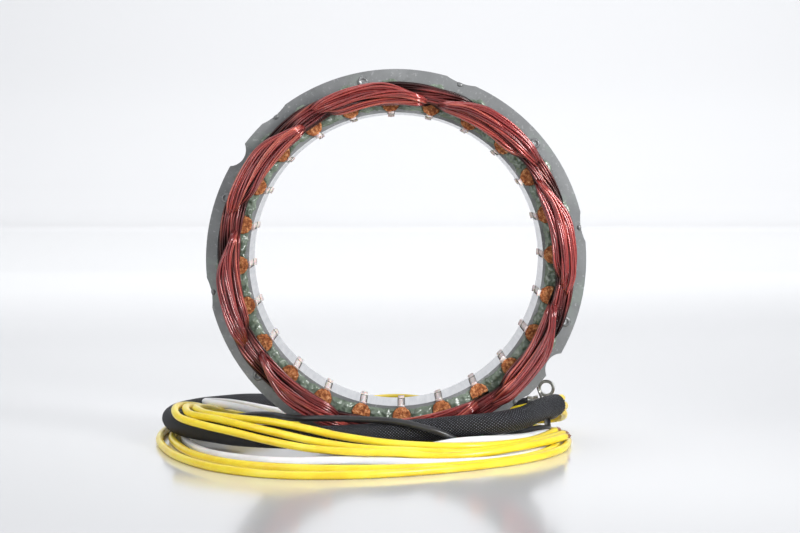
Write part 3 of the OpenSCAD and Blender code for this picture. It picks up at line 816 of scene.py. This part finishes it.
def terminal(name, eye_centre, eye_normal, foot, way, across):
    """Crimped ring terminal: foot is the middle of the barrel's open end."""
    barrel_top, neck_foot, neck_end, neck_w = 3.9, 3.3, 2.9, 2.6
    batch = Batch()
    eye_centre = np.array(eye_centre) * MM
    foot = np.array(foot) * MM
    way = unit(np.array(way, float))
    reach = unit(foot + way * barrel_top * MM - eye_centre)
    normal = unit(np.array(eye_normal, float))
    reach = unit(reach - normal * np.dot(reach, normal))
    batch.add(*eye_plate(eye_centre, normal, -reach))
    batch.add(*barrel(foot, way, normal))
    batch.add(*neck(foot + way * neck_foot * MM, eye_centre + reach * neck_end * MM,
                    neck_w, PLATE_T, across))
    obj = batch.piece(name + "_lug", TIN, slot="tinned_terminal")
    bevel = obj.modifiers.new("soften", "BEVEL")
    bevel.width = 0.00008
    bevel.segments = 1
    bevel.limit_method = "ANGLE"
    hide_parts(name)
    return obj


EYE_1_TURN = math.radians(-18)
EYE_2_NORMAL = (0.937404, -0.06555, 0.34202)
lug_1 = terminal("ring_terminal_1", (58.8, 30, 17.6),
                 (math.sin(EYE_1_TURN), -math.cos(EYE_1_TURN), 0),
                 (58.8, 26.8, 10), (0, 0.6, 0.8), (1, 0, 0))
lug_2 = terminal("ring_terminal_2", (55.7, 25.3, 16.7), EYE_2_NORMAL,
                 (51, 25.4, 13.4), (1, 0, 0.06), (0, 1, 0))
lead("black_lead_long", black_long_route, THIN_D, BLACK, "black_pvc")
lead("black_lead_short", black_short_route, THIN_D, BLACK, "black_pvc")

# -------------------------------------------------------------------- core
STEEL = steel_face()
STACK = steel_stack()
RIVET = rivet_steel()
WELD = weld_steel()
ENAMEL = copper_enamel()
EPOXY = green_epoxy()
FIBRE = wedge_fibre()
PAPER = slip_paper()

for plate in ("front_end_lamination", "back_end_lamination"):
    data = nodes_by_name[plate].data
    data.materials.clear()
    data.materials.append(STEEL)


def sheet_stack():
    """The stack of steel sheets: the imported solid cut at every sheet, with a
    fine groove left at each joint."""
    source = nodes_by_name["lamination_stack"].data
    bm = bmesh.new()
    bm.from_mesh(source)
    bmesh.ops.remove_doubles(bm, verts=bm.verts, dist=1e-6)
    groove_half, depth_outside, depth_ground, last_joint = 0.1, 0.09, 0.008, 11.0
    for y in np.arange(-last_joint, last_joint + 0.5, 1.0):
        for shift in (-groove_half, 0.0, groove_half):
            bmesh.ops.bisect_plane(
                bm, geom=bm.verts[:] + bm.edges[:] + bm.faces[:], dist=1e-7,
                plane_co=(0, (y + shift) * MM, 0), plane_no=(0, 1, 0))
    bm.normal_update()
    for v in bm.verts:
        y = v.co.y / MM
        if abs(y) < last_joint + 0.4 and abs(y - round(y)) < 0.02:
            ground = math.hypot(v.co.x, v.co.z - RING_Z) < 0.0545
            v.co -= v.normal * (depth_ground if ground else depth_outside) * MM
    data = bpy.data.meshes.new("sheet_stack")
    bm.to_mesh(data)
    bm.free()
    data.materials.append(STACK)
    obj = new_object("sheet_stack", data)
    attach(obj, "root")
    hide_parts("lamination_stack")


sheet_stack()


RIVETS_AT_R = 66.4
RIVET_ANGLES = (100.5, 40, 340, 280, 220, 160)
WELDS_AT_R = 68.7
WELD_ANGLES = (10, 70, 130, 190, 250, 310)


def rivets():
    """Pressed rivet heads: a low dome, dished in the middle, uneven rim."""
    batch = Batch()
    profile = [(0.0, 0.50), (0.45, 0.46), (0.8, 0.52), (1.05, 0.74), (1.35, 0.86),
               (1.6, 0.74), (1.85, 0.40), (2.0, 0.10), (2.05, -0.15)]
    turns = 40
    for end in (-1, 1):
        for n, deg in enumerate(RIVET_ANGLES):
            centre = on_ring(RIVETS_AT_R, deg, FACE_Y * end)
            verts = []
            for i, (r, h) in enumerate(profile):
                for k in range(turns):
                    a = 2 * math.pi * k / turns
                    jog = 1 + 0.06 * wobble(math.cos(a) * 2 + n, math.sin(a) * 2,
                                            i * 0.4)
                    lift = 0.10 * wobble(math.cos(a) * 3, math.sin(a) * 3 + n, i)
                    verts.append(centre + np.array(
                        [math.cos(a) * r * jog, end * (h + lift * (0 < i < 6)),
                         math.sin(a) * r * jog]) * MM)
            faces = capped_faces(len(profile), turns)
            if end == -1:
                faces = [f[::-1] for f in faces]
            batch.add(verts, faces)
    obj = batch.piece("rivet_heads", RIVET, slot="rivet_steel")
    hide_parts("core_rivets")


rivets()


def welds():
    """Weld beads in the grooves across the stack: each stands out a little and
    ripples, and its inner half fills the groove."""
    bead_half_w, bead_rise = 1.22, 0.45
    rows, cols = 90, 28
    batch = Batch()
    for n, deg in enumerate(WELD_ANGLES):
        ys = np.linspace(-12.99, 12.99, rows)
        middle = on_ring(np.full(rows, WELDS_AT_R), np.full(rows, float(deg)), ys)
        turn = np.arange(cols) * 2 * math.pi / cols - math.radians(deg)
        out = np.where(np.cos(turn) > 0, bead_rise, bead_half_w)
        oval = 1 / np.hypot(np.cos(turn) / out, np.sin(turn) / bead_half_w)
        ripple = np.array([[0.16 * math.sin(i * 0.9) + 0.2 * wobble(
            i * 0.16, k * 0.3, n * 5.0) for k in range(cols)] for i in range(rows)])
        shape = oval * (1 + ripple * (out < 1))
        shape[:3] = shape[-3:] = oval
        verts, faces = tube(middle, MM, cols, True, shape)
        batch.add(verts, faces)
    obj = batch.piece("weld_beads", WELD, slot="weld_steel")
    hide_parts("core_weld_beads")


welds()


# --------------------------------------------------------------- epoxy coat
SLOT_COUNT = 24
SLOT_STEP = 360 // SLOT_COUNT
FIRST_SLOT = 2
SLOT_ANGLES = [FIRST_SLOT + SLOT_STEP * k for k in range(SLOT_COUNT)]


def opening_half_width(r):
    """Half the width of a slot's opening at a radius, both in mm."""
    return np.interp(r, [54.0, 55.1, 55.9, 57.0, 58.1, 63.8, 64.6, 64.7],
                     [1.0, 1.05, 2.5, 3.1, 3.3, 3.35, 2.3, -9])


def coat():
    """Fluidised epoxy on both faces: a lumpy glossy skin that thins out at its
    edges and is open over the slots."""
    batch = Batch()
    radii = np.concatenate([np.arange(54.3, 59.7, 0.3), np.arange(59.7, 66.9, 0.5)])
    turns = 1080
    buried = -0.25          # below the face, where there is no coat
    degs = np.arange(turns) * 360 / turns
    for end in (-1, 1):
        top = np.zeros((len(radii), turns))
        for k, deg in enumerate(degs):
            nearest = (deg - FIRST_SLOT + SLOT_STEP / 2) % SLOT_STEP - SLOT_STEP / 2
            a = math.radians(deg)
            for i, r in enumerate(radii):
                across = abs(math.radians(nearest)) * r
                p = (r * math.cos(a), r * math.sin(a))
                rag = 0.9 * wobble(p[0] * 0.35, p[1] * 0.35, 5.0 * end)
                rag += 0.30 * wobble(p[0] * 1.1, p[1] * 1.1, 5.0 * end)
                patch = 4.7 - math.hypot(across, r - 61.7)
                inside = min(r - 55.2, max(63.6 - r, patch)) + rag
                inside = min(inside, across - float(opening_half_width(r)), r - 54.25)
                if inside <= 0:
                    top[i, k] = buried
                    continue
                lump = (0.55 * wobble(p[0] * 0.42, p[1] * 0.42, 9.0 * end)
                        + 0.35 * wobble(p[0] * 1.1, p[1] * 1.1, 2.0 * end))
                swell = 0.85 * math.exp(-((across - 5.6) / 1.1) ** 2)
                swell *= min(1.0, max(0.0, (r - 55.4) / 1.6))
                full = 0.55 + max(-0.25, lump) + swell
                top[i, k] = full * (1 - math.exp(-inside / 0.30))
        verts = []
        for i, r in enumerate(radii):
            verts.append(on_ring(np.full(turns, r), degs, end * (FACE_Y + top[i])))
        for r in (radii[-1], radii[0]):
            verts.append(on_ring(np.full(turns, r), degs, np.full(turns, end * 12.6)))
        faces = grid_faces(len(verts), turns, looped=True)
        if end == 1:
            faces = [f[::-1] for f in faces]
        batch.add(np.vstack(verts), faces)
    for deg in SLOT_ANGLES:
        wall = [(1.40, 54.9), (2.75, 55.7), (3.5, 56.8), (3.75, 58.0), (3.75, 64.0),
                (2.5, 65.0)]
        clear = [(2.3, 64.6), (3.35, 63.8), (3.35, 58.1), (3.12, 57.0), (2.5, 56.0),
                 (1.0, 54.9)]
        shape = (wall + [(-w, r) for w, r in wall[::-1]]
                 + [(-w, r) for w, r in clear[::-1]] + clear)
        verts = [by_slot(w, r, deg, y) for y in (-13.3, 13.3) for w, r in shape]
        count = len(shape)
        faces = grid_faces(2, count)
        for k in range(11):
            quad = (k, k + 1, 22 - k, 23 - k)
            faces.append(quad)
            faces.append(tuple(count + i for i in quad[::-1]))
        batch.add(verts, faces)
    obj = batch.piece("epoxy_coat", EPOXY, slot="green_epoxy")
    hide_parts("slot_insulation")


coat()


# ------------------------------------------------------------------- wedges
def wedge(index, deg):
    """Domed fibre wedge with ragged cut ends, over a pale slip of paper."""
    batch = Batch()
    dome, plain = [], []
    for a in np.linspace(0, math.pi, 21):
        dome.append((3.42 * math.cos(a), 58.5 - 4.15 * math.sin(a) ** 0.85))
        plain.append((3.1 * math.cos(a), 58.5 - 3.0 * math.sin(a) ** 0.8))
    for w in np.linspace(-2.7, 2.7, 9):
        dome.append((w, 58.85 + 0.12 * rng.uniform(-1, 1)))
        plain.append((w, 58.7))
    dome, plain = np.array(dome), np.array(plain)
    dome *= 1 + 0.004 * rng.uniform(-1, 1, dome.shape)
    middle = np.array([0, 57.0])
    cuts = (0.02, 0.3, 0.55, 0.78, 0.93)
    rows = [(scale, -1, True) for scale in cuts]
    rows += [(1.0, y, False) for y in (-1, -0.945, -0.94, 0, 0.94, 0.945, 1)]
    rows += [(scale, 1, True) for scale in cuts[::-1]]
    verts = []
    front = 14.0 + rng.uniform(-0.1, 0.35)
    back = 14.0 + rng.uniform(-0.1, 0.35)
    for scale, side, cut in rows:
        reach = front if side < 0 else back
        outline = plain if not cut and abs(side) < 0.943 else dome
        for spot in outline:
            p = middle + (spot - middle) * scale
            if cut:
                rough = 0.42 * wobble(p[0] * 1.9, p[1] * 1.9, index * 3.0 + side)
                rough += 0.22 * wobble(p[0] * 4.7, p[1] * 4.7, index * 3.0 + side)
                rough -= 0.10 * (scale > 0.9)
                y = side * (reach - 0.15) + math.copysign(rough, side)
            else:
                y = side * (reach - 0.25)
                p = p + 0.10 * wobble(p[0] * 3, p[1] * 3, y) * (p - middle) / 3
            verts.append(by_slot(p[0], p[1], deg, y))
    batch.add(verts, capped_faces(len(rows), len(dome)))
    for _ in range(26):
        w = rng.uniform(-2.8, 2.8)
        dome_here = 3.9 * math.sqrt(max(0.0, 1 - (w / 3.4) ** 2))
        deep = 58.5 - dome_here * rng.uniform(0, 0.95)
        side = rng.choice([-1, 1])
        reach = front if side < 0 else back
        line = [on_ring(
            math.hypot(w, deep) + s * rng.uniform(-0.3, 0.3),
            deg + math.degrees(math.atan2(w, deep)) + s * rng.uniform(-0.4, 0.4),
            side * (reach - 0.6 + s * rng.uniform(0.5, 1.0))) for s in (0, 0.5, 1)]
        batch.add(*tube(np.array(line), 0.00011, 4))
    name = f"slot_wedge_{index:02d}"
    obj = batch.piece(name + "_fibre", FIBRE, slot="wedge_fibre")
    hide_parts(name)


def paper_slips():
    """Thin pale strip in each slot mouth, curling out at the back."""
    batch = Batch()
    for deg in SLOT_ANGLES:
        half = 1.22
        curl = rng.uniform(0.7, 1.6)
        ys = np.array([-14.6, -14.0, -13.2, -8, 0, 8, 13.0, 14.2, 15.4])
        lift = np.array([curl, 0.45, 0.1, 0.0, 0.0, 0.0, 0.0, 0.4,
                         1.0 + rng.uniform(-0.3, 0.3)])
        strip = ((-half, 0), (0, -0.12), (half, 0), (half, 0.3), (0, 0.2), (-half, 0.3))
        verts = [by_slot(w, 54.6 - up + t, deg, y)
                 for y, up in zip(ys, lift) for w, t in strip]
        batch.add(verts, capped_faces(len(ys), len(strip)))
    batch.piece("paper_slips", PAPER, slot="wedge_fibre")


for number, angle in enumerate(SLOT_ANGLES):
    wedge(number + 1, angle)
paper_slips()


# ----------------------------------------------------------------- windings
STRAND_R = 0.42
STRAND_PITCH = 0.80
COIL_SPAN = 45              # degrees from one slot of a phase to its next
PACK = [(u * STRAND_PITCH, v * STRAND_PITCH)
        for v, row in ((0, (-1.5, -0.5, 0.5, 1.5)), (-1, (-1, 0, 1)), (1, (-1, 0, 1)))
        for u in row]
STEPS = (0.045, 0.085, 0.13, 0.18, 0.24, 0.31, 0.38, 0.46, 0.54, 0.62, 0.69, 0.76,
         0.82, 0.87, 0.915, 0.955)


def smooth_step(x):
    x = min(1.0, max(0.0, x))
    return x * x * (3 - 2 * x)


def rope(batch, deg, way, end, path, twist, flat, first, seed):
    """Ten strands laid together from one slot to the next: path(t) gives the
    middle of the rope as radius and height, twist its whole turn in radians,
    and flat how wide it lies. Each strand enters both slots in its own place."""
    roll = seed * 2.1
    for k, (u, v) in enumerate(PACK):
        out_w = 2.6 - 5.2 * ((first + k) % 10) / 9
        row = (first + k) // 10
        r_out, r_in = 59.5 + 0.8 * row, 62.3 + 0.8 * row
        a_out = deg + way * math.degrees(out_w / r_out)
        a_in = deg + way * (COIL_SPAN - math.degrees(out_w / r_in))
        pts = [(r_out, a_out, y) for y in (0.0, 7.0, 12.2)]
        pts.append((r_out, a_out + way * 0.15, 13.7))
        loose = 1.0 + 0.5 * rng.uniform(0, 1)
        for t in STEPS:
            r, y = path(t)
            turn = roll + twist * t
            spread = 1.0 + 0.16 * wobble(t * 2.5, seed, 3.0)
            du = (u * math.cos(turn) - v * math.sin(turn)) * flat * spread
            dv = (u * math.sin(turn) + v * math.cos(turn)) / math.sqrt(flat)
            r += du + 0.32 * loose * wobble(t * 4.0, seed * 3.1 + k * 1.7, 1.0)
            y += dv + 0.36 * loose * wobble(t * 4.0, seed * 3.1 + k * 1.7, 8.0)
            angle = deg + way * COIL_SPAN * t
            near, far = math.exp(-t / 0.06), math.exp(-(1 - t) / 0.06)
            angle += ((a_out - deg) * near * 0.8
                      + (a_in - deg - way * COIL_SPAN) * far * 0.8)
            r += (r_out - r) * near * 0.6 + (r_in - r) * far * 0.6
            if end < 0:
                r -= 0.6 * math.sin(math.radians(angle))
            pts.append((r, angle, y))
        pts.append((r_in, a_in - way * 0.15, 13.7))
        pts += [(r_in, a_in, y) for y in (12.2, 7.0, 0.0)]
        pts = np.array(pts)
        line = curve(on_ring(pts[:, 0], pts[:, 1], pts[:, 2] * end), 2)
        batch.add(*tube(line, STRAND_R * MM * (1 + 0.04 * rng.uniform(-1, 1)), 7))


def front_rope(place):
    """Top layer: all ropes leave the slot low and at its inner side, then fan
    out, the outermost passing over the others."""
    wide = (58.5, 61.5, 64.3)[place]
    rise = (19.2, 20.9, 20.4)[place]

    def path(t):
        fan = smooth_step(t / (0.16, 0.30, 0.46)[place])
        dive = smooth_step((t - (0.70, 0.78, 0.80)[place]) / 0.28)
        r = 59.3 + (wide - 59.3) * fan
        r += (62.6 - r) * dive
        lift = smooth_step(t / 0.12)
        y = 14.2 + (rise - 14.2) * lift + 0.5 * math.sin(math.pi * t)
        y += (15.0 - y) * dive
        return r, y
    return path


def under_rope(r, drift, y, crest):
    """Lower layers: a rope at one radius, highest where crest says."""
    def path(t):
        edge = smooth_step(min(t, 1 - t) / 0.12)
        rise = 1.5 * math.exp(-((t - crest) / 0.16) ** 2)
        return (r + drift * math.sin(2 * math.pi * t),
                14.4 + (y + rise - 14.4) * edge)
    return path


def winding(phase, first, seed):
    """One phase's coils on both faces: c lies on top, a and b under it."""
    batch = Batch()
    for end in (-1, 1):
        for deg in range(first, first + 360, COIL_SPAN):
            right = math.cos(math.radians(deg - COIL_SPAN / 2)) > -0.1
            way = -1 if right else 1
            start = deg if right else deg - COIL_SPAN
            if phase == "c":
                flat = 0.98
                paths = [front_rope(i) for i in range(3)]
            elif phase == "b":
                flat = 1.03
                crest = 0.33 if right else 0.67
                paths = [under_rope(59.9, 0.6, 16.5, crest),
                         under_rope(62.6, -0.8, 16.2, crest)]
            else:
                flat = 1.03
                crest = 0.67 if right else 0.33
                paths = [under_rope(61.3, 0.9, 16.6, crest),
                         under_rope(64.2, 0.3, 16.3, crest)]
            for n, (path, twist) in enumerate(zip(paths, (2.6, 3.1, 2.2))):
                seed += 1.37
                rope(batch, start, way, end, path, twist * way, flat, len(PACK) * n,
                     seed)
    obj = batch.piece(f"phase_{phase}_turns", ENAMEL, slot="enamelled_copper")
    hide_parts(f"phase_{phase}_winding")


winding("a", 17, 3.0)
winding("b", 2, 11.0)
winding("c", 32, 19.0)


# ------------------------------------------------------- splices at the back
TAILS_FROM = 316.0          # angle at which the leads come over the winding


def arc_path(r, y, start, turn, count=14):
    return on_ring(np.full(count, float(r)), np.linspace(start, start + turn, count),
                   np.full(count, float(y)))


def tail_piece(name, r, y, turn, foot_r, foot_y, d, mat, slot):
    """A lead's end lying on the winding for a turn in degrees, then bent down."""
    stop = TAILS_FROM + turn
    lie = arc_path(r, y, TAILS_FROM, turn - 1.0)
    down = [on_ring(r + (foot_r - r) * 0.5, stop + 0.3, y - 0.2),
            on_ring(foot_r, stop + 0.6, y - 1.4),
            on_ring(foot_r, stop + 0.6, foot_y)]
    path = curve(np.vstack([lie[::2], down]), 4)
    obj = make_piece(name + "_lay", *tube(path, d / 2 * MM, CORD_SIDES), mat, slot)
    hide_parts(name)
    return path


SLEEVING = cable_skin("varnished_sleeving", (0.16, 0.12, 0.03), (0.26, 0.20, 0.06),
                      (0.36, 0.29, 0.10), 0.3, 0.0, 0.5)


JOINT_R = 1.45


def joint_sleeve(name, path):
    """Varnished tube slipped over a soldered joint."""
    swell = np.array([1.0 + 0.03 * wobble(i * 0.5, 2.0) for i in range(len(path))])
    make_piece(name, *tube(path, JOINT_R * MM * swell, 18), SLEEVING, "splice_varnish")


# phase, radius, height, turn, foot, and the stretch its joint sleeve covers
PHASE_TAILS = (("a", 64.0, 28.1, 22, 23.4, (14, 26)),
               ("b", 61.7, 26.4, 30, 22.0, (16, 28)),
               ("c", 59.4, 28.1, 26, 21.5, (12, 25)))
tails = [tail_piece(f"phase_{phase}_splice", r, y, turn, r, foot_y, 2.6, YELLOW,
                    "yellow_pvc")
         for phase, r, y, turn, foot_y, _ in PHASE_TAILS]
tail_piece("neutral_splice", 60.3, 30.7, 41, 60.3, 26.4, 2.6, WHITE, "white_pvc")
tail_piece("earth_tail", 63.1, 30.7, 24, 67.9, 14.0, 2.3, BLACK, "black_pvc")
for (phase, *_, (first, last)), path in zip(PHASE_TAILS, tails):
    joint_sleeve(f"splice_sleeve_{phase}", path[first:last])


def star():
    """Star point: the three phase ends twisted together and dipped."""
    rows, cols = 26, 22
    arc = arc_path(61.6, 25.5, 354.0, 7.0, rows)
    spread = np.array([[1 + 0.9 * abs(math.cos(2 * math.pi * k / cols)) ** 1.5
                        + 0.12 * wobble(i * 0.4, k * 0.5, 3.0)
                        for k in range(cols)] for i in range(rows)])
    ends = np.minimum(1, np.minimum(np.arange(rows), np.arange(rows)[::-1]) / 4 + 0.45)
    obj = make_piece("star_point", *tube(arc, JOINT_R * MM * ends, cols, True, spread),
                     SLEEVING, "splice_varnish")
    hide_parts("star_splice")


star()

# ---------------------------------------------------------- floor and light
def stage_mesh():
    """Pale floor that sweeps up behind in one curve."""
    sweep_y, sweep_r = 1.5, 0.9
    profile = [(-1.6, 0.0), (-0.8, 0.0), (0.0, 0.0), (0.6, 0.0), (1.2, 0.0),
               (sweep_y, 0.03)]
    for a in np.radians(np.linspace(10, 90, 9)):
        profile.append((sweep_y + sweep_r * math.sin(a),
                        sweep_r - sweep_r * math.cos(a) + 0.02))
    profile.append((2.42, 3.2))
    verts = [(x, y, z) for y, z in profile for x in np.linspace(-3, 3, 13)]
    faces = grid_faces(len(profile), 13, closed=False)
    data = bpy.data.meshes.new("floor")
    data.from_pydata(verts, [], faces)
    data.polygons.foreach_set("use_smooth", [True] * len(data.polygons))
    data.materials.append(floor_gloss())
    new_object("floor", data)


stage_mesh()


def area(name, at, aim, size, power, spread=180):
    light = bpy.data.lights.new(name, "AREA")
    light.shape = "RECTANGLE"
    light.size, light.size_y = size
    light.energy = power
    light.spread = math.radians(spread)
    obj = new_object(name, light)
    obj.location = at
    obj.rotation_euler = (Vector(aim) - Vector(at)).to_track_quat("-Z", "Y").to_euler()


area("key_right", (0.31, -0.31, 0.21), (0.03, 0, 0.09), (0.16, 0.20), 0.26, spread=50)
area("fill_left", (-0.9, -0.8, 0.5), (0, 0, 0.06), (0.6, 0.6), 3.7)
area("top_soft", (-0.12, 0.14, 0.95), (-0.05, 0, 0), (0.9, 0.7), 4.3)
area("front_low", (-0.2, -0.9, 0.16), (0, 0, 0.03), (0.6, 0.25), 0.7)
area("back_glow", (0.1, 0.9, 1.0), (-0.2, 2.2, 0.5), (2.2, 1.0), 21)

world = bpy.data.worlds.new("studio")
world.use_nodes = True
shade = world.node_tree.nodes["Background"]
shade.inputs[0].default_value = (0.93, 0.95, 1.0, 1)
shade.inputs[1].default_value = 0.42
scene.world = world
scene.view_settings.view_transform = "Standard"
